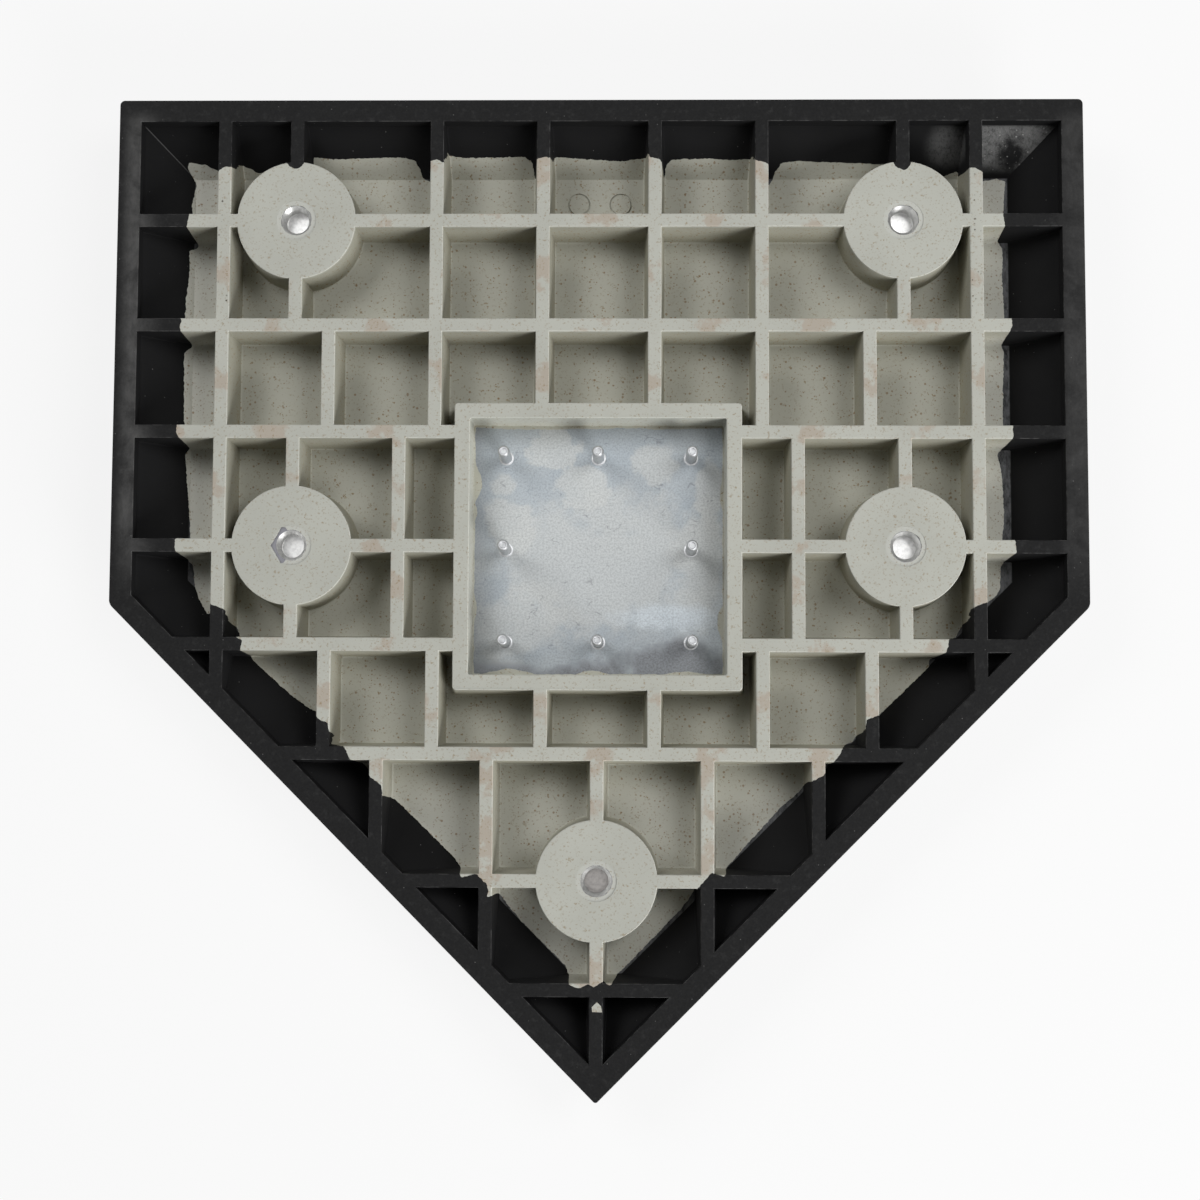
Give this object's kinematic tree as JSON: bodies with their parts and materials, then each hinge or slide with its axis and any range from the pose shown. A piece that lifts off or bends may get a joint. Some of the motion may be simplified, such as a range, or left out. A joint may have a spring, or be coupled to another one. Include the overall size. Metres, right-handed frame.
{
  "type": "home plate",
  "caption": "Five-sided rubber home plate lying face down: black bevelled border, white waffle-ribbed core, round bosses with threaded inserts, and a steel anchor plate in a square collar.",
  "frame": {"origin": "under the middle of the outline's box, on the playing face", "axes": "+Z from the playing face up to the ribbed underside, +Y from the point to the straight front edge, +X to the right seen from the underside"},
  "size_m": [0.4952, 0.5078, 0.0414],
  "materials": {
    "core": "off-white moulded rubber with brown specks",
    "border": "black moulded rubber, satin and slightly dusty",
    "plate": "galvanised sheet with cloudy blotches",
    "stud": "bright zinc",
    "insert": "bright machined steel"
  },
  "bodies": {
    "root": {"core": "core", "border": "border", "anchor_plate": "plate", "stud_front_left": "stud", "stud_front_centre": "stud", "stud_front_right": "stud", "stud_middle_left": "stud", "stud_middle_right": "stud", "stud_back_left": "stud", "stud_back_centre": "stud", "stud_back_right": "stud", "insert_front_left": "insert", "insert_front_right": "insert", "insert_middle_left": "insert", "insert_middle_right": "insert", "insert_point": "insert"}
  },
  "joints": []
}
